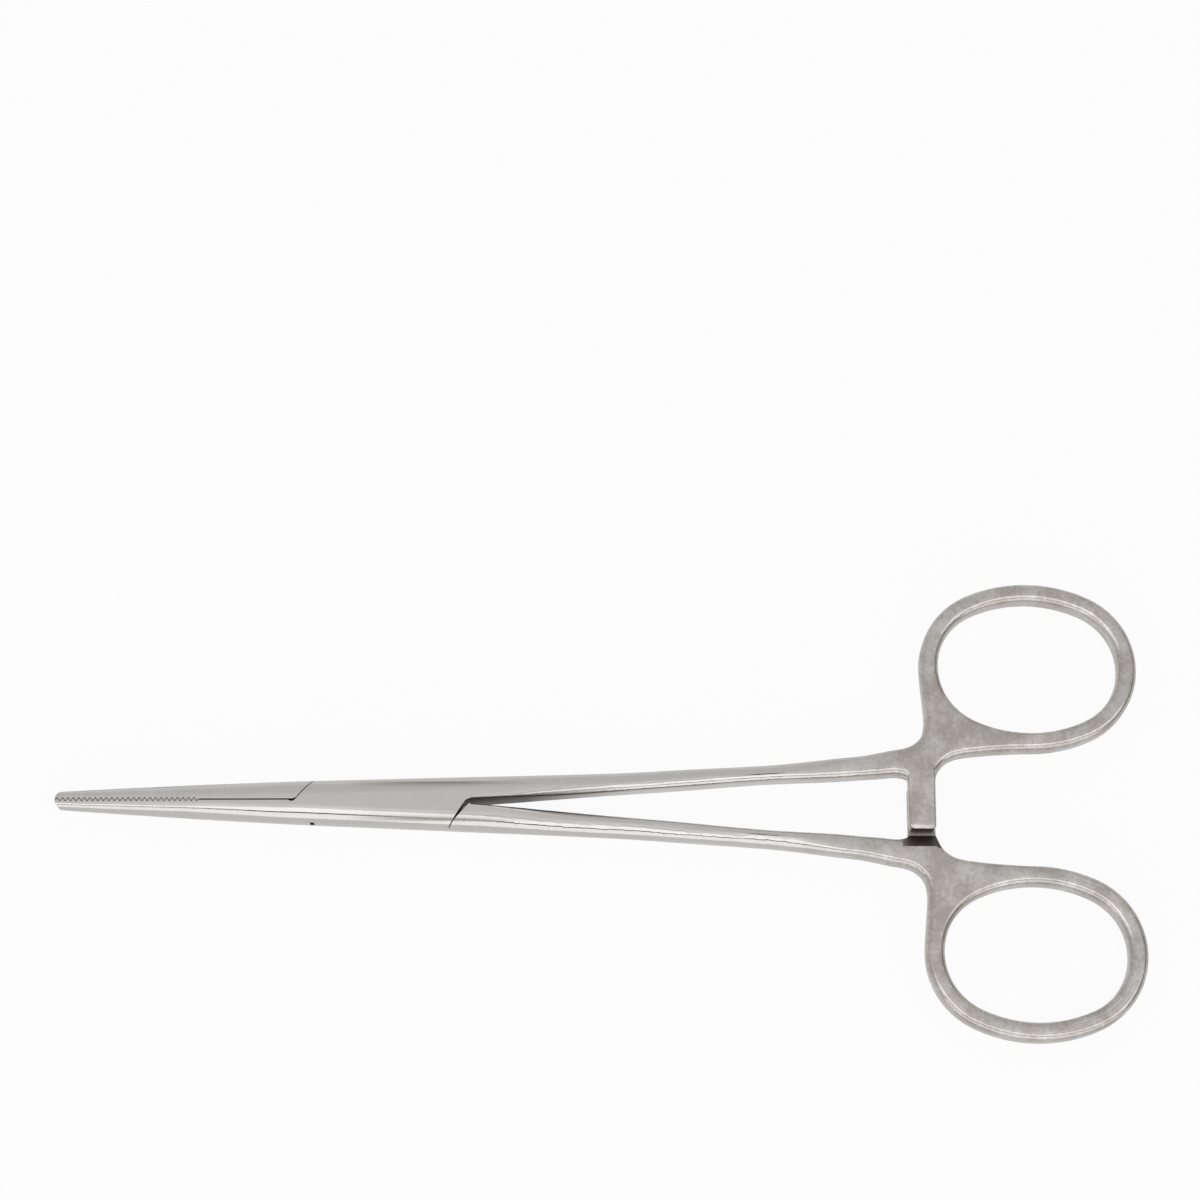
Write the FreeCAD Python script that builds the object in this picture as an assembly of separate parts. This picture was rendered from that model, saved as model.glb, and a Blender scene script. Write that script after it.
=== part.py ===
import FreeCAD
import Part
import math
import os

# Straight haemostatic forceps with a box lock, in millimetres.
# The origin is on the pivot axis at the underside of the box, jaws toward -X,
# finger rings toward +X, and the upper side of the box toward +Z.

# Driving sizes, each written once
length_jaw = 42.1            # pivot to jaw tip
length_arm = 97.1            # pivot to the far side of the rings
box_thick = 4.6              # thickness of the box
box_half_width = 3.17        # half width of the box at the pivot
box_taper = 0.035            # widening of the box for each mm along X
arm_thick = 3.4              # thickness of the shanks and rings
tip_thick = 1.9              # thickness of the jaws at the tip
tip_half_width = 1.14        # width of one jaw at the tip
jaw_belly = 0.08             # how far each jaw swells in the middle
side_round = 2.2             # rounding of the outer sides of the box and shanks
edge_round = 1.0             # rounding of the ring and web edges
inner_round = 0.9            # rounding of the inner edges of the shanks
crotch_edge = 0.25           # rounding of the inner edges where the shanks leave the box
tongue_thick = 1.6           # thickness of the tongue in the box
box_end = 11.2               # pivot to the foot of the jaw diagonal and to the crotch
jaw_slope = 50.0             # slope of the diagonal on the jaw side, degrees
arm_slope = 58.0             # slope of the diagonal on the shank side, degrees
slot_reach = 9.73            # radius of the slot end walls about the pivot
slot_end_gap = 0.51          # open corner between the tongue and the slot end
crotch_half_gap = 0.35       # half the space between the shanks at the box
crotch_round = 1.0           # rounding of the box where the shanks part
shoulder_open = 0.6          # how far the shoulder stands off the box at the crotch
shoulder_reach = 2.5         # centre line to where the shoulder meets the diagonal
foot_round = 0.6             # milled round at the foot of the jaw diagonal
foot_dip = 0.15              # how deep that round dips below the jaw face
toe_chamfer = 0.3            # blunted corner of the jaw that lies in it
pin_radius = 1.5             # pivot pin
pin_head_radius = 2.0        # countersunk rivet head
pin_head_depth = 0.5
tooth_pitch = 0.705          # jaw serrations
tooth_depth = 0.44
tooth_blunt = 0.05           # height taken off each crest
tooth_count = 26
tooth_margin = 0.14          # plain face between the tip and the first tooth
jaw_relief = 0.05            # set-back of each plain face behind the teeth
relief_run = 0.25            # length of the slope from the last tooth to the plain face
ring_hole_length = 23.3      # finger hole along X
ring_hole_width = 17.6       # finger hole along Y
ring_bar = 2.42              # width of the ring bar seen from above
ring_y = 18.76               # ring centre from the centre line
ring_end_round = 8.0         # radius of both ends of the finger hole
bar_width = 3.5              # ratchet bar along X
bar_offset = -0.05           # middle of the ratchet bar past the near side of the rings
bar_reach = 3.15             # how far a ratchet bar passes the centre line
bar_round = 0.42             # rounding of the upper edges of a ratchet bar
bar_root_run = 2.2           # how far a ratchet bar is let into its web
ratchet_pitch = 1.25
ratchet_depth = 0.45
ratchet_count = 3
ratchet_start = 0.45         # bar end to the first ratchet groove
ratchet_lean = 0.12          # slope of the steep side of a groove
ratchet_land = 0.18          # flat crest between two grooves
shank_waist = 2.74           # width of a shank where it joins its ring
shank_drop = 2.37            # middle of the shank there, inside the ring's near edge
shank_lean = 5.4             # slope of the shank there, degrees
plate_run = 6.9              # length of the flat plate ahead of the ratchet bar

# Clearances
jaw_gap = 0.07               # between the closed serrations
face_gap = 0.05              # tongue to each cheek of the box
diagonal_gap = 0.15          # shoulder to box diagonal
pin_gap = 0.03               # tongue bore to pin, radial
ratchet_gap = 0.06           # between the passing ratchet crests
bar_end_gap = 0.4            # ratchet bar end to the root of the other bar
root_run = 1.75              # length of the sloped root, seen from above
root_side_gap = 0.9          # clear space beside the other bar in the sloped root

# Derived places
zm = box_thick / 2
arm_half = arm_thick / 2
ring_a = ring_hole_length / 2
ring_b = ring_hole_width / 2
ring_x = length_arm - ring_a - ring_bar
bar_mid = ring_x - ring_a - ring_bar + bar_offset
bar_x0 = bar_mid - bar_width / 2
bar_x1 = bar_mid + bar_width / 2
joint_x = bar_x0 - plate_run
tongue_reach = slot_reach - slot_end_gap
slot_half = tongue_thick / 2 + face_gap
full_round = 0.95            # share of the half thickness that a rounding may take
tan_jaw = math.tan(math.radians(jaw_slope))
tan_arm = math.tan(math.radians(arm_slope))
big = 4 * length_arm
V = FreeCAD.Vector


def box_y(x):
    return box_half_width + box_taper * x


def ease(t):
    t = min(max(t, 0), 1)
    return t * t * (3 - 2 * t)


def section(x, y0, y1, half, r_out, r_in, lean=0.0):
    """Closed section of a limb across X, flat inside and rounded outside."""
    mid = (y0 + y1) / 2
    side = (-math.sin(lean), math.cos(lean))

    def at(y, z):
        t = y - mid
        return V(x + t * side[0], mid + t * side[1], zm + z)

    k = 1 - math.sqrt(0.5)
    low = [at(y1 - r_out, -half), at(y1 - k * r_out, -half + k * r_out), at(y1, -half + r_out)]
    top = [at(y1, half - r_out), at(y1 - k * r_out, half - k * r_out), at(y1 - r_out, half)]
    if r_in == 0:
        first = at(y0, -half)
        last = at(y0, half)
        inner = [Part.makeLine(last, first)]
    else:
        a = [at(y0 + r_in, half), at(y0 + k * r_in, half - k * r_in), at(y0, half - r_in)]
        b = [at(y0, -half + r_in), at(y0 + k * r_in, -half + k * r_in), at(y0 + r_in, -half)]
        first = b[2]
        last = a[0]
        inner = [Part.Arc(*a).toShape(), Part.makeLine(a[2], b[0]), Part.Arc(*b).toShape()]
    edges = [Part.makeLine(first, low[0]), Part.Arc(*low).toShape(), Part.makeLine(low[2], top[0])]
    edges += [Part.Arc(*top).toShape(), Part.makeLine(top[2], last)] + inner
    return Part.Wire(edges)


def prism(points, z0, z1):
    """Straight block from a polygon seen from above."""
    pts = [V(x, y, z0) for x, y in points]
    pts.append(pts[0])
    return Part.Face(Part.makePolygon(pts)).extrude(V(0, 0, z1 - z0))


def flip(shape):
    """Turn a shape half a turn about the long centre line."""
    other = shape.copy()
    other.rotate(V(0, 0, zm), V(1, 0, 0), 180)
    return other


# Jaws and box as one closed envelope, upper half first
box_round = min(side_round, full_round * zm)
tip_half = tip_thick / 2
tip_round = full_round * tip_half
tip = section(-length_jaw, 0, tip_half_width, tip_half, tip_round, 0)
mouth_y = box_y(-box_end)
jaw_mid_x = -(length_jaw + box_end) / 2
jaw_mid_y = (tip_half_width + mouth_y) / 2 + jaw_belly
jaw_mid_half = (tip_half + zm) / 2
mid = section(jaw_mid_x, 0, jaw_mid_y, jaw_mid_half, (tip_round + box_round) / 2, 0)
mouth = section(-box_end, 0, mouth_y, zm, box_round, 0)
back = section(box_end, 0, box_y(box_end), zm, box_round, 0)
jaw = Part.makeLoft([tip, mid, mouth], True, False)
box = Part.makeLoft([mouth, back], True, True)
upper = jaw.fuse(box)
envelope = upper.fuse(flip(upper)).removeSplitter()

# The nose is rounded in plan
nose = 1.1 * tip_half_width
nose_plan = Part.makeCylinder(nose, 4 * zm, V(nose - length_jaw, 0, -zm))
nose_cut = Part.makeBox(nose + 1, 4 * nose, 4 * zm, V(-length_jaw - 1, -2 * nose, -zm)).cut(nose_plan)
envelope = envelope.cut(nose_cut)

# Shank, ring, web and bar root as one rounded plate on the +Y side
lean = math.radians(shank_lean)
joint_y = ring_y - ring_b - ring_bar - shank_drop
joint_in = joint_y - shank_waist / 2
joint_out = joint_y + shank_waist / 2
ahead = V(math.cos(lean), math.sin(lean), 0)
across = V(-math.sin(lean), math.cos(lean), 0)
plate_z = zm - arm_half
start = V(joint_x, joint_y, plate_z) + across * (shank_waist / 2)
end = V(joint_x, joint_y, plate_z) - across * (shank_waist / 2)
out_a = ring_a + ring_bar
out_b = ring_b + ring_bar


def oval(grow):
    """Corner points of the finger hole's four-arc oval, grown by a width, and its arc middles."""
    a = ring_a + grow
    b = ring_b + grow
    r = ring_end_round + grow
    side = (a * a - 2 * a * r + b * b) / (2 * (b - r))
    turn = math.atan2(side - b, a - r)
    cx = a - r + r * math.cos(turn)
    cy = r * math.sin(turn)
    pts = [(-a, 0), (-cx, cy), (0, b), (cx, cy), (a, 0), (cx, -cy), (0, -b), (-cx, -cy)]
    half_turn = turn / 2
    ex = a - r + r * math.cos(half_turn)
    ey = r * math.sin(half_turn)
    mid_turn = (turn + math.pi / 2) / 2
    sx = side * math.cos(mid_turn)
    sy = side * math.sin(mid_turn) - (side - b)
    mids = [(-ex, ey), (-sx, sy), (sx, sy), (ex, ey), (ex, -ey), (sx, -sy), (-sx, -sy), (-ex, -ey)]
    here = V(ring_x, ring_y, plate_z)
    return [here + V(x, y, 0) for x, y in pts], [here + V(x, y, 0) for x, y in mids]


def arcs(grow, first, last):
    """Arcs of the oval from one corner point to another, clockwise from the near side."""
    pts, mids = oval(grow)
    return [Part.Arc(pts[i], mids[i], pts[(i + 1) % 8]).toShape() for i in range(first, last)]


def spline(points, first, last):
    """Smooth edge through the points, with its direction given at both ends."""
    slopes = [first]
    for a, b in zip(points, points[2:]):
        slopes.append((b - a).normalize())
    slopes.append(last)
    dense = [points[0]]
    spans = list(zip(points, points[1:], slopes, slopes[1:]))
    for a, b, da, db in spans:
        chord = (b - a).Length
        steps = 2
        if a is points[0] or b is points[-1]:
            steps = 8
        for i in range(1, steps + 1):
            t = i / steps
            h1 = t * t * (3 - 2 * t)
            pa = a * (1 - h1) + b * h1
            pb = da * (chord * t * (1 - t) ** 2) - db * (chord * t * t * (1 - t))
            dense.append(pa + pb)
    curve = Part.BSplineCurve()
    curve.interpolate(Points=dense)
    return curve.toShape()


def route(x, y, steps):
    """Points of the plate's outline, each given by its steps from one corner of the web or ring."""
    return [V(x + dx, y + dy, plate_z) for dx, dy in steps]


# The outline runs over the shoulder, round the ring, along the web and back past the bar root
left = ring_x - out_a
web_y = ring_y - out_b
shoulder = [start] + route(left, web_y, [(-4.0, -0.12), (-1.6, 0.42), (-0.05, 1.65), (0.5, 3.7), (0.3, 7.0)])
shoulder.append(V(left, ring_y, plate_z))
outer_1 = spline(shoulder, ahead, V(0, 1, 0))
outer_2 = arcs(ring_bar, 0, 6)
root_y = bar_reach + bar_end_gap
root_right = V(bar_x1 + 0.05, root_y, plate_z)
web = [outer_2[-1].Vertexes[-1].Point] + route(ring_x, web_y, [(-3.6, -0.15), (-7.4, -0.5)])
web += route(bar_x1, web_y, [(2.4, -1.0), (0.85, -2.1)]) + [root_right]
outer_3 = spline(web, V(-1, -0.01, 0), V(-0.12, -1, 0))
root_left = V(bar_x0, root_y, plate_z)
wall = [root_left] + route(bar_x0, joint_in, [(-0.3, 0.12), (-1.3, 0.4), (-4.0, 0.2)]) + [end]
outer_4 = spline(wall, V(0, 1, 0), ahead * -1)
closing = [Part.makeLine(root_right, root_left), outer_4, Part.makeLine(end, start)]
outline = Part.Wire([outer_1] + outer_2 + [outer_3] + closing)
hole = Part.Wire(arcs(0, 0, 8))
up = V(0, 0, arm_thick)
plate = Part.Face(outline).extrude(up).cut(Part.Face(hole).extrude(up))
rim = []
for edge in plate.Edges:
    flat = edge.BoundBox.ZLength < 0.01
    if flat and not isinstance(edge.Curve, Part.Line):
        rim.append(edge)
plate = plate.makeFillet(edge_round, rim)

# Shank from the box to the plate, nearly half round outside and soft inside
span = joint_x - box_end
rows = []
for f in [0, 0.05, 0.13, 0.25, 0.45, 0.65, 0.85]:
    y1 = box_y(box_end) + (joint_out - box_y(box_end)) * (0.55 * f + 0.45 * f ** 3)
    s_bend = f - 0.035 * math.sin(2 * math.pi * f)
    y0 = crotch_half_gap + (joint_in - crotch_half_gap) * s_bend
    half = zm + (arm_half - zm) * ease(f / 0.26)
    r_in = crotch_edge + (inner_round - crotch_edge) * ease(f / 0.3)
    r_out = min(side_round, full_round * half)
    r_out = min(r_out + (edge_round - r_out) * ease((f - 0.75) / 0.25), y1 - y0 - r_in - 0.1)
    rows.append(section(box_end + span * f, y0, y1, half, r_out, r_in))
for f in (0.975, 1):
    back_off = (1 - f) * span
    low_y = joint_in - back_off * ahead.y
    high_y = joint_out - back_off * ahead.y
    rows.append(section(joint_x - back_off * ahead.x, low_y, high_y, arm_half, edge_round, edge_round, lean))
shank = Part.makeLoft(rows, True, False)
arm = shank.fuse(plate)

# The root of the other half's bar slopes away under this web
slope_x = bar_x0 - root_side_gap
slope_yz = [(root_y - 1, zm), (root_y, zm), (root_y + root_run, plate_z)]
slope_yz += [(root_y + root_run, plate_z - 1), (root_y - 1, plate_z - 1), (root_y - 1, zm)]
slope = Part.Face(Part.makePolygon([V(slope_x, y, z) for y, z in slope_yz]))
arm = arm.cut(slope.extrude(V(bar_width + 2 * root_side_gap, 0, 0)))

# Ratchet bar over the centre line, teeth on its under side
bar_low = zm + ratchet_gap / 2
bar_high = zm + arm_half
bar_length = bar_reach + root_y + bar_root_run
bar = Part.makeBox(bar_width, bar_length, bar_high - bar_low, V(bar_x0, -bar_reach, bar_low))
corners = [e for e in bar.Edges if e.BoundBox.ZLength > 0.5 and e.BoundBox.YMax < 0]
bar = bar.makeFillet(2 * bar_round, corners)
soft = []
for edge in bar.Edges:
    b = edge.BoundBox
    if b.ZMin > bar_high - 0.01 and b.YMin < root_y:
        soft.append(edge)
bar = bar.makeFillet(bar_round, soft)
for i in range(ratchet_count):
    y0 = -bar_reach + ratchet_start + i * ratchet_pitch
    y1 = y0 + ratchet_pitch - ratchet_land
    groove_yz = [(y0, bar_low - 1), (y0, bar_low), (y0 + ratchet_lean, bar_low + ratchet_depth)]
    groove_yz += [(y1, bar_low), (y1, bar_low - 1), (y0, bar_low - 1)]
    groove = Part.Face(Part.makePolygon([V(bar_x0 - 1, y, z) for y, z in groove_yz]))
    bar = bar.cut(groove.extrude(V(bar_width + 2, 0, 0)))
arm = arm.fuse(bar)

# Outline of the serrations in plan
tooth_start = -length_jaw + tooth_margin
tooth_end = tooth_start + tooth_count * tooth_pitch
crest = tooth_depth / 2 - tooth_blunt
flat_half = tooth_blunt * tooth_pitch / (2 * tooth_depth)


def serrations(blunt_up):
    """Points of one serrated face, with its own crests blunted."""
    pts = [(-big, 0), (tooth_start, 0)]
    for i in range(tooth_count):
        high = tooth_start + (i + 0.25) * tooth_pitch
        low = tooth_start + (i + 0.75) * tooth_pitch
        if blunt_up:
            pts += [(high - flat_half, crest), (high + flat_half, crest), (low, -tooth_depth / 2)]
        else:
            pts += [(high, tooth_depth / 2), (low - flat_half, -crest), (low + flat_half, -crest)]
    return pts + [(tooth_end, 0)]


def parting(blunt_up, shift, relief, gap, toe):
    """Points of one jaw face and its box diagonal, from the far left to the far top."""
    pts = [(x, y + shift) for x, y in serrations(blunt_up)]
    level = shift + relief
    pts.append((tooth_end + relief_run, level))
    foot = -box_end - gap + level / tan_jaw
    if toe > 0:
        pts += [(foot - toe, level), (foot + toe / tan_jaw / 2, level + toe / 2)]
    else:
        pts.append((foot, level))
    pts.append((foot + big / tan_jaw, level + big))
    return pts, foot, level


# Female half: lower jaw, box with its slot, upper shank
jaw_face, foot, level = parting(True, -jaw_gap / 2, -jaw_relief, 0, 0)
female = envelope.cut(prism(jaw_face + [(-big, big)], -1, box_thick + 1))
slope_cos = math.cos(math.radians(jaw_slope))
slope_sin = math.sin(math.radians(jaw_slope))
along = (foot_round * (1 - slope_cos) - foot_dip) / slope_sin
foot_x = foot + along * slope_cos - foot_round * slope_sin
foot_y = level - foot_dip + foot_round
female = female.cut(Part.makeCylinder(foot_round, box_thick + 2, V(foot_x, foot_y, -1)))

# The open side of the box ends in a rounded crotch
half_corner = math.radians(180 - arm_slope) / 2
tangent = crotch_round / math.tan(half_corner)
head = V(box_end - tangent, crotch_half_gap, -1)
down = V(-math.cos(math.radians(arm_slope)), -math.sin(math.radians(arm_slope)), 0)
inward = V(math.cos(half_corner), -math.sin(half_corner), 0)
arc_start = head + V(tangent, 0, 0)
arc_middle = head + inward * (crotch_round / math.sin(half_corner) - crotch_round)
arc_end = head + down * tangent
far_down = head + down * big
far = [V(big, far_down.y, -1), V(big, crotch_half_gap, -1)]
open_side = [Part.Arc(arc_start, arc_middle, arc_end).toShape(), Part.makeLine(arc_end, far_down)]
open_side += [Part.makeLine(far_down, far[0]), Part.makeLine(*far), Part.makeLine(far[1], arc_start)]
female = female.cut(Part.Face(Part.Wire(open_side)).extrude(V(0, 0, box_thick + 2)))
disc = Part.makeCylinder(slot_reach, 2 * slot_half, V(0, 0, zm - slot_half))
slot = disc.fuse(Part.makeBox(big, big, 2 * slot_half, V(-big, 0, zm - slot_half)))
slot = slot.fuse(Part.makeBox(big, big, 2 * slot_half, V(0, -big, zm - slot_half)))
female = female.cut(slot)

# Pivot pin with countersunk heads, ground flush with the flat and rounded sides of the box
pin = Part.makeCylinder(pin_radius, box_thick)
pin = pin.fuse(Part.makeCone(pin_head_radius, pin_radius, pin_head_depth))
pin_top = V(0, 0, box_thick - pin_head_depth)
pin = pin.fuse(Part.makeCone(pin_radius, pin_head_radius, pin_head_depth, pin_top))
pin = pin.removeSplitter().common(envelope)
female = female.fuse(arm).cut(pin).removeSplitter()

# Male half: upper jaw, tongue through the slot, lower shank
jaw_side, toe_x, toe_y = parting(False, jaw_gap / 2, jaw_relief, diagonal_gap, toe_chamfer)
full = envelope.common(prism(jaw_side + [(-big, big)], -1, box_thick + 1))


def shoulder_x(y):
    """Place of the shoulder's face along X, where it follows the box diagonal."""
    return head.x + diagonal_gap + (y - crotch_half_gap) / tan_arm


arm_side = [(shoulder_x(-crotch_half_gap) + shoulder_open, -crotch_half_gap)]
arm_side += [(shoulder_x(-shoulder_reach), -shoulder_reach), (shoulder_x(-big), -big)]
arm_side += [(big, -big), (big, -crotch_half_gap)]
full = full.fuse(envelope.common(prism(arm_side, -1, box_thick + 1)))
tongue_low = zm - tongue_thick / 2
tongue_high = zm + tongue_thick / 2
reach = Part.makeCylinder(tongue_reach, tongue_thick, V(0, 0, tongue_low))
link_left = [(-box_end - 1, toe_y), (0, toe_y), (0, big), (-box_end - 1, big)]
link_right = [(0, -big), (box_end, -big), (box_end, -crotch_half_gap), (0, -crotch_half_gap)]
for link in (link_left, link_right):
    reach = reach.fuse(prism(link, tongue_low, tongue_high))
tongue = envelope.common(reach)
bore = Part.makeCylinder(pin_radius + pin_gap, box_thick)
male = full.fuse(tongue).fuse(flip(arm)).cut(bore).removeSplitter()

os.makedirs("parts", exist_ok=True)
for name, shape in (("box_half", female), ("tongue_half", male), ("pivot_pin", pin)):
    solids = shape.Solids
    print(name, shape.isValid(), len(solids), [round(x.Volume, 2) for x in solids], len(shape.Faces))
    solids[0].exportStep("parts/" + name + ".step")
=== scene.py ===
# %% [markdown]
# Straight haemostatic forceps in Blender.
# The two halves and the pivot pin arrive as finished solids at their real size, in metres.
# The origin is on the pivot axis at the underside of the box, the jaws point along -X,
# and the upper face of the box looks along +Z.
# This lesson dresses them: it sets up the table, the lamps and the camera, merges the
# meshes so that they shade smoothly, and gives the steel its satin and polished finish.

# %% Load the solids and keep their box
import math

import bmesh
import bpy
from mathutils import Euler, Matrix, Vector


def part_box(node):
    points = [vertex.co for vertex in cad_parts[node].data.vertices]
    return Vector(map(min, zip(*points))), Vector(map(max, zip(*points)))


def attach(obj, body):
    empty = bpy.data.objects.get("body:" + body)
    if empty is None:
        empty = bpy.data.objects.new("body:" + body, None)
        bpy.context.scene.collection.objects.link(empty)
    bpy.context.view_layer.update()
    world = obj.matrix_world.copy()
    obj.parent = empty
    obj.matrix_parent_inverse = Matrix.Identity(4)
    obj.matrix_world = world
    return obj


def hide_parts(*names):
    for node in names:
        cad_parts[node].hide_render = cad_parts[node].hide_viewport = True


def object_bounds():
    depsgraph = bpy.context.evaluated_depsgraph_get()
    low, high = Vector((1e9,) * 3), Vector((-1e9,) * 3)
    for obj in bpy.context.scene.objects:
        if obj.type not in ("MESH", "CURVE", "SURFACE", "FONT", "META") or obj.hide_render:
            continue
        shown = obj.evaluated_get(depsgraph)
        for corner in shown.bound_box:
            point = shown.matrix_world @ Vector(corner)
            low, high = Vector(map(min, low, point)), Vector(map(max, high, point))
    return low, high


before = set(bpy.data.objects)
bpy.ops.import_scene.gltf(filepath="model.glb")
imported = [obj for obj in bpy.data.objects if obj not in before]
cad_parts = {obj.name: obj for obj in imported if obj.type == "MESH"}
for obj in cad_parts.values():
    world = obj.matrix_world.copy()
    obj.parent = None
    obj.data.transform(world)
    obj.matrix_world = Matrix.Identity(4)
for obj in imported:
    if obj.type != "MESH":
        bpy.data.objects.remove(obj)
cad_low, cad_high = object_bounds()
MM = 0.001
pin_low, pin_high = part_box("pivot_pin")
mid_z = (pin_low.z + pin_high.z) / 2

# %% [markdown]
# The camera of a catalogue picture stands almost above the table.
# A lens of about 94 mm on a 36 mm sensor keeps the instrument free of distortion.
# The camera stands a little to the near side (-Y), so the near flanks of the box and of
# the shanks show under the flat top faces. One Euler turn tilts it, one small roll follows.

# %% Camera
view_tilt = math.radians(17.3)
view_roll = math.radians(0.52)
camera_place = Vector((27.46, -93.52, 391.35)) * MM

camera_data = bpy.data.cameras.new("catalogue_camera")
camera_data.lens = 93.4
camera_data.sensor_width = 36.0
camera_data.clip_start = 0.01
camera_data.clip_end = 20.0
camera = bpy.data.objects.new("catalogue_camera", camera_data)
bpy.context.scene.collection.objects.link(camera)
turn = Matrix.Rotation(view_tilt, 4, "X") @ Matrix.Rotation(view_roll, 4, "Z")
camera.matrix_world = Matrix.Translation(camera_place) @ turn
bpy.context.scene.camera = camera
print("camera height in mm", round(camera.matrix_world.translation.z / MM, 1))

# %% [markdown]
# Polished metal has no colour of its own to speak of: it shows the room.
# So the room is built first, with a white table under the instrument.
# The table is a diffuse white. For camera rays it also glows, which makes the backdrop
# white without more light on the steel, and a small share stays diffuse for the shadow.
# Mirror and glass rays see that glow at a lower level, so the steel shows a softer grey.

# %% Table
def new_material(name):
    """An empty node material and its node tree."""
    material = bpy.data.materials.new(name)
    material.use_nodes = True
    material.node_tree.nodes.clear()
    return material, material.node_tree


def maths(tree, operation, first, second=None, third=None, clamp=False):
    """One Math node: each input is a socket or a number."""
    node = tree.nodes.new("ShaderNodeMath")
    node.operation = operation
    node.use_clamp = clamp
    for index, value in enumerate((first, second, third)):
        if value is None:
            continue
        if isinstance(value, bpy.types.NodeSocket):
            tree.links.new(value, node.inputs[index])
        else:
            node.inputs[index].default_value = value
    return node.outputs[0]


table_reach = 4.0
table_white = 0.82
camera_glow = 0.93
mirror_glow = 0.76
mirror_share = 0.9

bm = bmesh.new()
bmesh.ops.create_circle(bm, cap_ends=True, radius=table_reach, segments=64)
table_mesh = bpy.data.meshes.new("table")
bm.to_mesh(table_mesh)
bm.free()
table = bpy.data.objects.new("table", table_mesh)
bpy.context.scene.collection.objects.link(table)

table_paint, tree = new_material("white_table")
out = tree.nodes.new("ShaderNodeOutputMaterial")
matt = tree.nodes.new("ShaderNodeBsdfDiffuse")
matt.inputs["Color"].default_value = (table_white, table_white, table_white, 1)
glow = tree.nodes.new("ShaderNodeEmission")
rays = tree.nodes.new("ShaderNodeLightPath")
mirrored = maths(tree, "MAXIMUM", rays.outputs["Is Glossy Ray"], rays.outputs["Is Transmission Ray"])
seen = maths(tree, "MULTIPLY", rays.outputs["Is Camera Ray"], camera_glow)
share = maths(tree, "MAXIMUM", seen, maths(tree, "MULTIPLY", mirrored, mirror_share))
level = maths(tree, "MULTIPLY_ADD", mirrored, mirror_glow - 1, 1)
tree.links.new(level, glow.inputs["Strength"])
both = tree.nodes.new("ShaderNodeMixShader")
tree.links.new(share, both.inputs["Fac"])
tree.links.new(matt.outputs[0], both.inputs[1])
tree.links.new(glow.outputs[0], both.inputs[2])
tree.links.new(both.outputs[0], out.inputs["Surface"])
table_mesh.materials.append(table_paint)
print("table radius in m", table_reach)

# %% [markdown]
# The room is an even grey. A long softbox hangs over the near side and adds a bright
# stripe to every flank that leans towards it, and a second one stands low beyond it.
# The upper one is four lamps that start one after another, which gives it a soft upper
# edge. A narrow black card between the two draws the thin dark line along the flanks.
# Each one is given by the two angles between which the table sees it, measured from
# straight above towards the near side. A low grey card on the ring side darkens the
# flanks that face that way.

# %% Lamps and room
wall_grey = 0.66
key_level = 0.19
low_level = 0.60
lamp_far = 1.2
key_starts = (-6, 0, 6, 12)
key_end = 42.8
card_span = (42.8, 50)
card_near = 0.98 * lamp_far
low_span = (50, 88)
end_span = (68, 86)
key_wide = 3.0
low_wide = 3.4
end_wide = 1.8
near_black = 0.02
mid_grey = 0.30


def hang(thing, span, far, heading=0):
    """Put a lamp or card at its distance, facing the middle of the instrument."""
    turn = Euler((math.radians(sum(span) / 2), 0, math.radians(heading)))
    centre = Vector(((cad_low.x + cad_high.x) / 2, 0, 0))
    thing.location = centre + turn.to_matrix() @ Vector((0, 0, far))
    thing.rotation_euler = turn
    bpy.context.scene.collection.objects.link(thing)


def height_of(span, far):
    """Height of a flat thing that fills a span of angles at its distance."""
    return 2 * far * math.tan(math.radians(span[1] - span[0]) / 2)


def softbox(name, level, span, wide, far=lamp_far):
    """A softbox of a given radiance."""
    lamp_data = bpy.data.lights.new(name, "AREA")
    lamp_data.shape = "RECTANGLE"
    lamp_data.size = wide
    lamp_data.size_y = height_of(span, far)
    lamp_data.energy = level * math.pi * lamp_data.size * lamp_data.size_y
    lamp = bpy.data.objects.new(name, lamp_data)
    hang(lamp, span, far)
    lamp.visible_camera = False


def card(name, grey, span, wide, far, heading=0):
    """A dark card that fills a span of angles."""
    bm = bmesh.new()
    bmesh.ops.create_grid(bm, x_segments=1, y_segments=1, size=0.5)
    bmesh.ops.scale(bm, verts=bm.verts, vec=(wide, height_of(span, far), 1))
    mesh = bpy.data.meshes.new(name)
    bm.to_mesh(mesh)
    bm.free()
    paint, tree = new_material(name)
    out = tree.nodes.new("ShaderNodeOutputMaterial")
    matt = tree.nodes.new("ShaderNodeBsdfDiffuse")
    matt.inputs["Color"].default_value = (grey, grey, grey, 1)
    tree.links.new(matt.outputs[0], out.inputs["Surface"])
    mesh.materials.append(paint)
    piece = bpy.data.objects.new(name, mesh)
    hang(piece, span, far, heading)
    piece.visible_camera = False


for start in key_starts:
    softbox(f"key_softbox_from_{start}", key_level, (start, key_end), key_wide)
softbox("low_softbox", low_level, low_span, low_wide)
card("black_card", near_black, card_span, low_wide, card_near)
card("ring_side_card", mid_grey, end_span, end_wide, lamp_far, heading=90)

room = bpy.data.worlds.new("grey_room")
room.use_nodes = True
wall = room.node_tree.nodes["Background"]
wall.inputs["Color"].default_value = (wall_grey, wall_grey, wall_grey, 1)
bpy.context.scene.world = room
bpy.context.scene.view_settings.view_transform = "Standard"
print("key softbox", round(height_of((key_starts[0], key_end), lamp_far), 2), "m tall")

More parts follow.
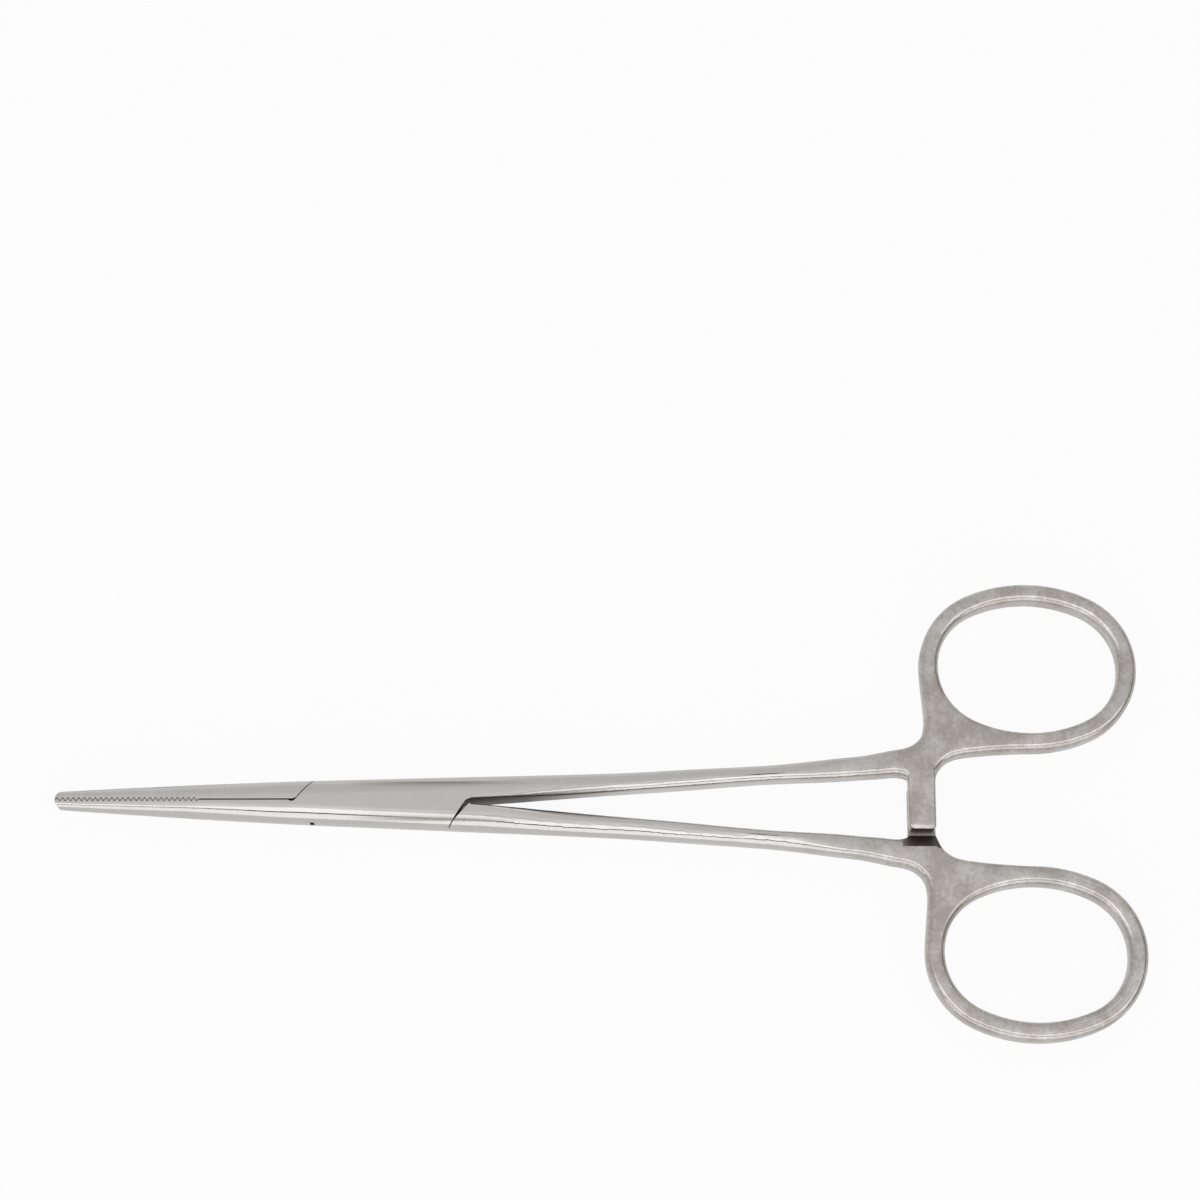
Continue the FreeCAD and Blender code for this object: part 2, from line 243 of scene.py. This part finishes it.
# %% [markdown]
# A solid arrives as loose triangles, one patch per face of the drawing.
# Each patch would shade by itself, and polished steel would show every seam.
# So each half is copied, its doubles are merged, edges that are really sharp are marked,
# and a Weighted Normal modifier lets the wide flat faces rule the shading beside them.
# The jaws and the box share one outer form: flat above and below, a circular arc on each
# side. There the exact direction of the surface is known from its sizes, so it is written
# into the copy. The pin head then reflects as one piece with the box around it.
# The copy stands for the solid, and rides on the same body.

# %% Merged copies of the solids
sharp_from = math.radians(28)
jaw_tip = -42.1 * MM
jaw_foot = -11.2 * MM
box_back = 11.2 * MM
tip_half = (1.14 * MM, 0.95 * MM, 0.903 * MM)
foot_half = (2.778 * MM, 2.3 * MM, 2.185 * MM)
jaw_belly = 0.08 * MM
box_taper = 0.035
snug = 0.02 * MM
doubles_within = 1e-6
flat_weight = 80
exact_from = 0.93


def outer_form(x):
    """Half width, half thickness and rounding of the jaws and box at one place along X."""
    if x > jaw_foot:
        return foot_half[0] + box_taper * (x - jaw_foot), foot_half[1], foot_half[2]
    t = (x - jaw_tip) / (jaw_foot - jaw_tip)
    wide, high, round_off = [a + (b - a) * t for a, b in zip(tip_half, foot_half)]
    return wide + 4 * jaw_belly * t * (1 - t), high, round_off


def outer_depth(x, y, z):
    """How far a point lies outside the outer form, with its offsets from the arc's middle."""
    wide, high, round_off = outer_form(x)
    dy = max(abs(y) - wide + round_off, 0)
    dz = max(abs(z) - high + round_off, 0)
    return math.hypot(dy, dz) - round_off, dy, dz


def outer_normal(point):
    """Exact direction of the outer form at a point on it, or None elsewhere."""
    if not jaw_tip <= point.x <= box_back:
        return None
    z = point.z - mid_z
    depth, dy, dz = outer_depth(point.x, point.y, z)
    if abs(depth) > snug or dy + dz == 0:
        return None
    step = 0.1 * MM
    ahead = outer_depth(point.x + step, point.y, z)[0]
    behind = outer_depth(point.x - step, point.y, z)[0]
    slope = (ahead - behind) / (2 * step)
    reach = math.hypot(dy, dz)
    across = math.copysign(dy / reach, point.y)
    upward = math.copysign(dz / reach, z)
    return Vector((slope, across, upward)).normalized()


def merged_copy(node, body, name):
    """A smooth-shading copy of one solid that stands for it."""
    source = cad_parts[node]
    bm = bmesh.new()
    bm.from_mesh(source.data)
    bmesh.ops.remove_doubles(bm, verts=bm.verts, dist=doubles_within)
    for face in bm.faces:
        face.smooth = True
    for edge in bm.edges:
        edge.smooth = edge.calc_face_angle(0.0) < sharp_from
    mesh = bpy.data.meshes.new(name)
    bm.to_mesh(mesh)
    bm.free()
    piece = bpy.data.objects.new(name, mesh)
    bpy.context.scene.collection.objects.link(piece)
    shade = piece.modifiers.new("flat_faces_rule", "WEIGHTED_NORMAL")
    shade.keep_sharp = True
    shade.weight = flat_weight
    weighted = piece.evaluated_get(bpy.context.evaluated_depsgraph_get()).data
    normals = [corner.vector.copy() for corner in weighted.corner_normals]
    piece.modifiers.remove(shade)
    exact = 0
    for triangle in mesh.polygons:
        for corner in triangle.loop_indices:
            known = outer_normal(mesh.vertices[mesh.loops[corner].vertex_index].co)
            if known and known.dot(triangle.normal) > exact_from:
                normals[corner] = known
                exact += 1
    mesh.normals_split_custom_set(normals)
    print(name, len(mesh.polygons), "triangles,", exact, "exact corners of", len(normals))
    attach(piece, body)
    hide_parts(node)
    return piece


box_side_half = merged_copy("box_half", "box_side", "box_half_finished")
tongue_side_half = merged_copy("tongue_half", "tongue_side", "tongue_half_finished")
pin = merged_copy("pivot_pin", "box_side", "pivot_pin_finished")

# %% [markdown]
# The effects that the materials share are node groups, and every pattern runs on object
# coordinates. Fine brush lines run across the instrument, because the flats were drawn
# over a belt. Soft clouds vary the tone a little, as passivated steel does.
# Long shallow waves remain where the flanks were polished by hand.
# A Bevel node finds rubbed edges: where its rounded normal leaves the true one, the
# corner is worn bright.

# %% Node groups
def new_group(name, inputs, outputs):
    """A shader node group with named float or vector sockets."""
    group = bpy.data.node_groups.new(name, "ShaderNodeTree")
    kinds = {"f": "NodeSocketFloat", "v": "NodeSocketVector"}
    for label, kind in inputs:
        group.interface.new_socket(label, in_out="INPUT", socket_type=kinds[kind])
    for label, kind in outputs:
        group.interface.new_socket(label, in_out="OUTPUT", socket_type=kinds[kind])
    return group, group.nodes.new("NodeGroupInput"), group.nodes.new("NodeGroupOutput")


def noise(tree, vector, scale, detail=2.0, rough=0.5):
    """The value of a noise texture on a vector socket."""
    node = tree.nodes.new("ShaderNodeTexNoise")
    node.inputs["Scale"].default_value = scale
    node.inputs["Detail"].default_value = detail
    node.inputs["Roughness"].default_value = rough
    tree.links.new(vector, node.inputs["Vector"])
    return node.outputs["Fac"]


def stretched(tree, vector, scales):
    """A vector socket with its three axes scaled."""
    node = tree.nodes.new("ShaderNodeMapping")
    node.inputs["Scale"].default_value = scales
    tree.links.new(vector, node.inputs["Vector"])
    return node.outputs["Vector"]


def axes(tree, vector):
    """The three components of a vector socket."""
    node = tree.nodes.new("ShaderNodeSeparateXYZ")
    tree.links.new(vector, node.inputs["Vector"])
    return node.outputs


def window(tree, value, low, high, soft):
    """1 where a value lies between two limits, fading to 0 over a soft width outside them."""
    above = maths(tree, "MULTIPLY_ADD", value, 1 / soft, 1 - low / soft, clamp=True)
    below = maths(tree, "MULTIPLY_ADD", value, -1 / soft, 1 + high / soft, clamp=True)
    return maths(tree, "MULTIPLY", above, below)


def times(tree, first, *others):
    """The product of several masks."""
    for other in others:
        first = maths(tree, "MULTIPLY", first, other)
    return first


line_scale = 9000
band_scale = 1500
cloud_scale = 260
grain_scale = 1900
wave_scale = 95
rub_gain = 8.0

brush, into, back = new_group("brush_lines", [("Vector", "v")], [("Lines", "f"), ("Bands", "f")])
place = into.outputs["Vector"]
fine = noise(brush, stretched(brush, place, (1, 0.05, 0.3)), line_scale, 3, 0.6)
wide = noise(brush, stretched(brush, place, (1, 0.12, 0.3)), band_scale, 2, 0.5)
brush.links.new(fine, back.inputs["Lines"])
brush.links.new(wide, back.inputs["Bands"])

cloud, into, back = new_group("steel_clouds", [("Vector", "v")], [("Tone", "f"), ("Waves", "f")])
place = into.outputs["Vector"]
large = noise(cloud, place, cloud_scale, 3, 0.55)
small = noise(cloud, place, grain_scale, 3, 0.6)
tone = maths(cloud, "MULTIPLY_ADD", large, 0.6, maths(cloud, "MULTIPLY", small, 0.4))
waves = noise(cloud, stretched(cloud, place, (1, 0.6, 0.6)), wave_scale, 1, 0.4)
cloud.links.new(tone, back.inputs["Tone"])
cloud.links.new(waves, back.inputs["Waves"])

rub, into, back = new_group("rubbed_edges", [("Radius", "f")], [("Mask", "f"), ("Normal", "v")])
round_edge = rub.nodes.new("ShaderNodeBevel")
round_edge.samples = 6
rub.links.new(into.outputs["Radius"], round_edge.inputs["Radius"])
surface = rub.nodes.new("ShaderNodeNewGeometry")
meet = rub.nodes.new("ShaderNodeVectorMath")
meet.operation = "DOT_PRODUCT"
rub.links.new(round_edge.outputs["Normal"], meet.inputs[0])
rub.links.new(surface.outputs["Normal"], meet.inputs[1])
leaving = maths(rub, "SUBTRACT", 1.0, meet.outputs["Value"])
rub.links.new(maths(rub, "MULTIPLY", leaving, rub_gain, clamp=True), back.inputs["Mask"])
rub.links.new(round_edge.outputs["Normal"], back.inputs["Normal"])
print("groups", [g.name for g in bpy.data.node_groups])

# %% [markdown]
# Nobody polishes the faces that work inside: the serrations, the slot of the box, the
# diagonals where the halves meet, the crotch between the shanks, and the sloped root
# beside each ratchet bar.
# They stay dull as they were ground, and their colour is painted dark as well: painted
# shade in the recesses and in the gaps between the parts, and a painted dark reflection
# in the crotch. This group finds them by their place and by the way they face. Both halves
# are the same shape turned about the long axis, so the distances from the centre line and
# from the middle height serve for both.

# %% Ground faces and painted shade
everywhere = -1
turn_fade = 0.1
upright_below = 0.5
leaning_below = 0.8
leaning_fade = 0.18
crosswise_from = 0.42
teeth_reach = 0.27 * MM
box_reach = 13.0 * MM
slot_depth = 0.87 * MM
slot_wall = 9.9 * MM
slot_side = 2.8 * MM
crotch_span = (9.0 * MM, 18.0 * MM)
crotch_side = 2.4 * MM
crotch_fade = 14 * MM
crotch_share = 0.95
bar_middle = 68.9 * MM
root_span = (2.95 * MM, 5.42 * MM)
root_along = (bar_middle - 1.8 * MM, bar_middle + 2.6 * MM)
root_fade = 1.3 * MM
plate_face = 1.63 * MM


def crossing_side(tree, place):
    """Below 0 where a ratchet bar crosses over: above on the near side, below on the far one."""
    height = maths(tree, "SUBTRACT", place["Z"], mid_z)
    return maths(tree, "MULTIPLY", maths(tree, "SIGN", place["Y"]), height)


sockets = [("Vector", "v"), ("Normal", "v")]
ground_and_shade, into, back = new_group("ground_faces_and_painted_shade", sockets, [("Mask", "f")])
spot = axes(ground_and_shade, into.outputs["Vector"])
faces = axes(ground_and_shade, into.outputs["Normal"])
aside = maths(ground_and_shade, "ABSOLUTE", spot["Y"])
height = maths(ground_and_shade, "ABSOLUTE", maths(ground_and_shade, "SUBTRACT", spot["Z"], mid_z))
along = maths(ground_and_shade, "ABSOLUTE", spot["X"])
facing_up = maths(ground_and_shade, "ABSOLUTE", faces["Z"])
facing_along = maths(ground_and_shade, "ABSOLUTE", faces["X"])
upright = window(ground_and_shade, facing_up, everywhere, upright_below, turn_fade)
leaning = window(ground_and_shade, facing_up, everywhere, leaning_below, leaning_fade)
crosswise = window(ground_and_shade, facing_along, crosswise_from, 2, turn_fade)

teeth = window(ground_and_shade, aside, everywhere, teeth_reach, 0.05 * MM)
teeth = times(ground_and_shade, teeth, upright, window(ground_and_shade, spot["X"], everywhere, jaw_foot, MM))

meeting = times(ground_and_shade, crosswise, upright, window(ground_and_shade, along, everywhere, box_reach, MM))

inner_side = maths(ground_and_shade, "MULTIPLY_ADD", spot["X"], -box_taper, aside)
slot_inside = window(ground_and_shade, height, everywhere, slot_depth, 0.01 * MM)
slot_length = window(ground_and_shade, along, everywhere, slot_wall, 0.5 * MM)
slot_width = window(ground_and_shade, inner_side, everywhere, slot_side, 0.05 * MM)
slot_inside = times(ground_and_shade, slot_inside, slot_length, slot_width)

root = window(ground_and_shade, aside, *root_span, 0.04 * MM)
root_depth = window(ground_and_shade, height, everywhere, plate_face, 0.03 * MM)
root_length = window(ground_and_shade, spot["X"], *root_along, root_fade)
root_half = window(ground_and_shade, crossing_side(ground_and_shade, spot), everywhere, 0.02 * MM, 0.02 * MM)
root = times(ground_and_shade, root, root_depth, root_length, root_half)

crotch = window(ground_and_shade, spot["X"], *crotch_span, crotch_fade)
crotch_width = window(ground_and_shade, aside, everywhere, crotch_side, 0.3 * MM)
crotch = times(ground_and_shade, crotch, crotch_width, leaning, crotch_share)

places = teeth
for part in (meeting, slot_inside, root, crotch):
    places = maths(ground_and_shade, "MAXIMUM", places, part)
ground_and_shade.links.new(places, back.inputs["Mask"])
print("slot inside within", round(slot_depth / MM, 2), "mm of the middle height")

# %% [markdown]
# The free end of each ratchet bar is dressed round, more than its other edges, and the
# jaws are polished a little round from the serrations outwards.
# A height that falls with the square of the distance past a line gives that roundness.

# %% Faces dressed round
jaw_flat = 0.3 * MM
jaw_dressed_round = 5.0 * MM
jaw_dressed_to = (-26 * MM, 12 * MM)
bar_end = 3.15 * MM
bar_side = 2 * MM
dressed = 0.85 * MM
dressed_round = 1.75 * MM


def fallen(tree, past, radius):
    """Height that a round of a given radius has lost at a distance past its start."""
    return maths(tree, "MULTIPLY", maths(tree, "MULTIPLY", past, past), -0.5 / radius)


dressing, into, back = new_group("dressed_round", [("Vector", "v")], [("Height", "f"), ("Jaws", "f")])
spot = axes(dressing, into.outputs["Vector"])
aside = maths(dressing, "ABSOLUTE", spot["Y"])

past = maths(dressing, "SUBTRACT", aside, bar_end - dressed)
past = maths(dressing, "MINIMUM", maths(dressing, "MAXIMUM", past, 0), dressed)
own_half = window(dressing, crossing_side(dressing, spot), everywhere, 0, 0.02 * MM)
own_length = window(dressing, aside, everywhere, bar_end + 0.06 * MM, 0.02 * MM)
own_width = window(dressing, spot["X"], bar_middle - bar_side, bar_middle + bar_side, 0.1 * MM)
bar_fall = times(dressing, fallen(dressing, past, dressed_round), own_half, own_length, own_width)

past = maths(dressing, "MAXIMUM", maths(dressing, "SUBTRACT", aside, jaw_flat), 0)
on_jaws = window(dressing, spot["X"], everywhere, *jaw_dressed_to)
jaw_fall = times(dressing, fallen(dressing, past, jaw_dressed_round), on_jaws)
dressing.links.new(maths(dressing, "ADD", bar_fall, jaw_fall), back.inputs["Height"])
dressing.links.new(on_jaws, back.inputs["Jaws"])
print("bar ends dressed over", round(dressed / MM, 2), "mm")

# %% [markdown]
# The zigzag gap between the serrations of the closed jaws is painted as a fine dark line:
# painted shade in the gap between the teeth. Its distance is worked out from a triangle wave.

# %% Line along the serrations
tooth_pitch = 0.705 * MM
tooth_depth = 0.44 * MM
tooth_start = jaw_tip + 0.14 * MM
tooth_end = tooth_start + 26 * tooth_pitch
line_half = 0.045 * MM
line_fade = 0.04 * MM

zigzag, into, back = new_group("line_along_the_serrations", [("Vector", "v")], [("Mask", "f")])
spot = axes(zigzag, into.outputs["Vector"])
turns = maths(zigzag, "MULTIPLY_ADD", spot["X"], 1 / tooth_pitch, 0.25 - tooth_start / tooth_pitch)
swing = maths(zigzag, "PINGPONG", turns, 0.5)
wave = maths(zigzag, "MULTIPLY_ADD", swing, 2 * tooth_depth, -tooth_depth / 2)
steep = 2 * tooth_depth / tooth_pitch
away = maths(zigzag, "ABSOLUTE", maths(zigzag, "SUBTRACT", spot["Y"], wave))
away = maths(zigzag, "MULTIPLY", away, 1 / math.hypot(1, steep))
line = window(zigzag, away, everywhere, line_half, line_fade)
among_teeth = window(zigzag, spot["X"], everywhere, tooth_end, 0.1 * MM)
zigzag.links.new(times(zigzag, line, among_teeth), back.inputs["Mask"])
print("serrations from", round(tooth_start / MM, 2), "to", round(tooth_end / MM, 2), "mm")

# %% [markdown]
# One instrument shows two finishes of the same steel. The flat top and under faces are
# satin: fine brush lines scatter the lamps. The rounded flanks are mirror polished.
# Both come from one material, and the surface's own direction tells them apart, so the
# border follows the real edge between flat and round without any painting.
# The rings and their webs have been handled, so they are a little darker, more clouded and
# less bright at their flanks. The pin is ground flush and finished with the box, so no
# edge is rubbed around it.

# %% Steel
satin_from = (0.965, 0.997)
satin_rough = 0.34
polish_rough = 0.09
jaw_rough = 0.08
handled_rough = 0.15
raw_rough = 0.5
serration_shade_share = 0.75
cloud_contrast = 1.6
handled_contrast = 2.8
handled_shift = -0.15
band_depth = 0.03
wave_height = 0.06 * MM
line_height = 0.004 * MM
rub_radius = 0.08 * MM
pin_rub_radius = 0.04 * MM
pin_clear = (2.3 * MM, 2.7 * MM)
handled_from = (50 * MM, 66 * MM)
pale_steel = (0.68, 0.657, 0.638, 1)
grey_steel = (0.62, 0.594, 0.572, 1)
handled_steel = (0.47, 0.436, 0.405, 1)
# A dark brown for the ground faces, which also paints the shade in their recesses and gaps and a dark
# reflection in the crotch.
ground_steel_and_shade = (0.15, 0.13, 0.112, 1)


def mixed(tree, kind, factor, first, second):
    """A Mix node of floats, vectors or colours: each input is a socket or a plain value."""
    node = tree.nodes.new("ShaderNodeMix")
    node.data_type = kind
    ends = {"FLOAT": (2, 3, 0), "VECTOR": (4, 5, 1), "RGBA": (6, 7, 2)}[kind]
    for index, value in ((0, factor), (ends[0], first), (ends[1], second)):
        if isinstance(value, bpy.types.NodeSocket):
            tree.links.new(value, node.inputs[index])
        else:
            node.inputs[index].default_value = value
    return node.outputs[ends[2]]


def shared(tree, group, **sockets):
    """One use of a node group, with its inputs linked or set."""
    node = tree.nodes.new("ShaderNodeGroup")
    node.node_tree = group
    for label, value in sockets.items():
        if isinstance(value, bpy.types.NodeSocket):
            tree.links.new(value, node.inputs[label])
        else:
            node.inputs[label].default_value = value
    return node.outputs


def bumped(tree, height, distance, normal):
    """A Bump node on top of a normal."""
    node = tree.nodes.new("ShaderNodeBump")
    node.inputs["Distance"].default_value = distance
    tree.links.new(height, node.inputs["Height"])
    tree.links.new(normal, node.inputs["Normal"])
    return node.outputs["Normal"]


def ramp(tree, value, span, interpolation="LINEAR"):
    """0 below a span of values and 1 above it."""
    node = tree.nodes.new("ShaderNodeMapRange")
    node.interpolation_type = interpolation
    node.inputs["From Min"].default_value = span[0]
    node.inputs["From Max"].default_value = span[1]
    tree.links.new(value, node.inputs["Value"])
    return node.outputs["Result"]


def around_pin(tree, spot):
    """0 on the pin's end and 1 on the box around it."""
    distance = tree.nodes.new("ShaderNodeVectorMath")
    distance.operation = "LENGTH"
    tree.links.new(stretched(tree, spot, (1, 1, 0)), distance.inputs[0])
    return ramp(tree, distance.outputs["Value"], pin_clear)


def clouded_colour(tree, tones, lines, handled):
    """The colour of the steel with its clouds and its brush bands."""
    contrast = maths(tree, "MULTIPLY_ADD", handled, handled_contrast, cloud_contrast)
    centre = maths(tree, "MULTIPLY_ADD", handled, handled_shift, 0.5)
    clouded = maths(tree, "SUBTRACT", tones["Tone"], 0.5)
    clouded = maths(tree, "MULTIPLY_ADD", clouded, contrast, centre)
    darker = mixed(tree, "RGBA", handled, grey_steel, handled_steel)
    colour = mixed(tree, "RGBA", clouded, darker, pale_steel)
    streaked = tree.nodes.new("ShaderNodeVectorMath")
    streaked.operation = "SCALE"
    tree.links.new(colour, streaked.inputs[0])
    streak = mixed(tree, "FLOAT", lines["Bands"], 1 - band_depth, 1 + band_depth)
    tree.links.new(streak, streaked.inputs["Scale"])
    return streaked.outputs["Vector"]


def roughness(tree, tones, lines, satin, handled, on_jaws):
    """Satin on the flats and polish on the flanks, duller on the jaws and where handled."""
    satin_here = maths(tree, "MULTIPLY_ADD", lines["Lines"], 0.10, satin_rough - 0.05)
    polish_here = maths(tree, "MULTIPLY_ADD", tones["Tone"], 0.06, polish_rough - 0.03)
    polish_here = maths(tree, "MULTIPLY_ADD", handled, handled_rough, polish_here)
    polish_here = maths(tree, "MULTIPLY_ADD", on_jaws, jaw_rough, polish_here)
    return mixed(tree, "FLOAT", satin, polish_here, satin_here)


def dressed_normal(tree, tones, lines, satin, height, corner):
    """Dressed rounds first, then the waves of the polish and the brush lines of the satin."""
    polished = maths(tree, "SUBTRACT", 1.0, satin)
    rounded = bumped(tree, height, 1.0, corner)
    waved = bumped(tree, times(tree, tones["Waves"], polished), wave_height, rounded)
    return bumped(tree, times(tree, lines["Lines"], satin), line_height, waved)


def steel(name, edge_radius):
    """Instrument steel: satin where a face looks up or down, polished on its flanks."""
    material, tree = new_material(name)
    place = tree.nodes.new("ShaderNodeTexCoord")
    spot = place.outputs["Object"]
    direction = place.outputs["Normal"]
    lines = shared(tree, brush, Vector=spot)
    tones = shared(tree, cloud, Vector=spot)
    edges = shared(tree, rub, Radius=edge_radius)
    rounds = shared(tree, dressing, Vector=spot)
    inside = shared(tree, ground_and_shade, Vector=spot, Normal=direction)["Mask"]
    # Painted shade along the zigzag gap between the teeth of the closed jaws.
    serration_gap_shade = maths(tree, "MULTIPLY", shared(tree, zigzag, Vector=spot)["Mask"], serration_shade_share)
    ground_and_painted_shade = maths(tree, "MAXIMUM", inside, serration_gap_shade)

    facing_up = maths(tree, "ABSOLUTE", axes(tree, direction)["Z"])
    satin = ramp(tree, facing_up, satin_from, "SMOOTHSTEP")
    handled = ramp(tree, axes(tree, spot)["X"], handled_from)
    clear = around_pin(tree, spot)
    true_face = tree.nodes.new("ShaderNodeNewGeometry")
    corner = mixed(tree, "VECTOR", clear, true_face.outputs["Normal"], edges["Normal"])

    worn = times(tree, edges["Mask"], clear)
    metal = mixed(tree, "RGBA", worn, clouded_colour(tree, tones, lines, handled), pale_steel)
    smooth = roughness(tree, tones, lines, satin, handled, rounds["Jaws"])
    normal = dressed_normal(tree, tones, lines, satin, rounds["Height"], corner)

    finish = tree.nodes.new("ShaderNodeBsdfPrincipled")
    finish.inputs["Metallic"].default_value = 1.0
    # Ground faces and the serration line are mixed to the dark brown: a dull ground finish with
    # painted shade.
    tree.links.new(mixed(tree, "RGBA", ground_and_painted_shade, metal, ground_steel_and_shade), finish.inputs["Base Color"])
    tree.links.new(mixed(tree, "FLOAT", ground_and_painted_shade, smooth, raw_rough), finish.inputs["Roughness"])
    tree.links.new(normal, finish.inputs["Normal"])
    out = tree.nodes.new("ShaderNodeOutputMaterial")
    tree.links.new(finish.outputs[0], out.inputs["Surface"])
    return material


half_steel = steel("satin_and_polished_steel", rub_radius)
pin_steel = steel("ground_pin_steel", pin_rub_radius)
finishes = ((box_side_half, half_steel), (tongue_side_half, half_steel), (pin, pin_steel))
for piece, material in finishes:
    piece.data.materials.clear()
    piece.data.materials.append(material)
print("materials", half_steel.name, pin_steel.name)
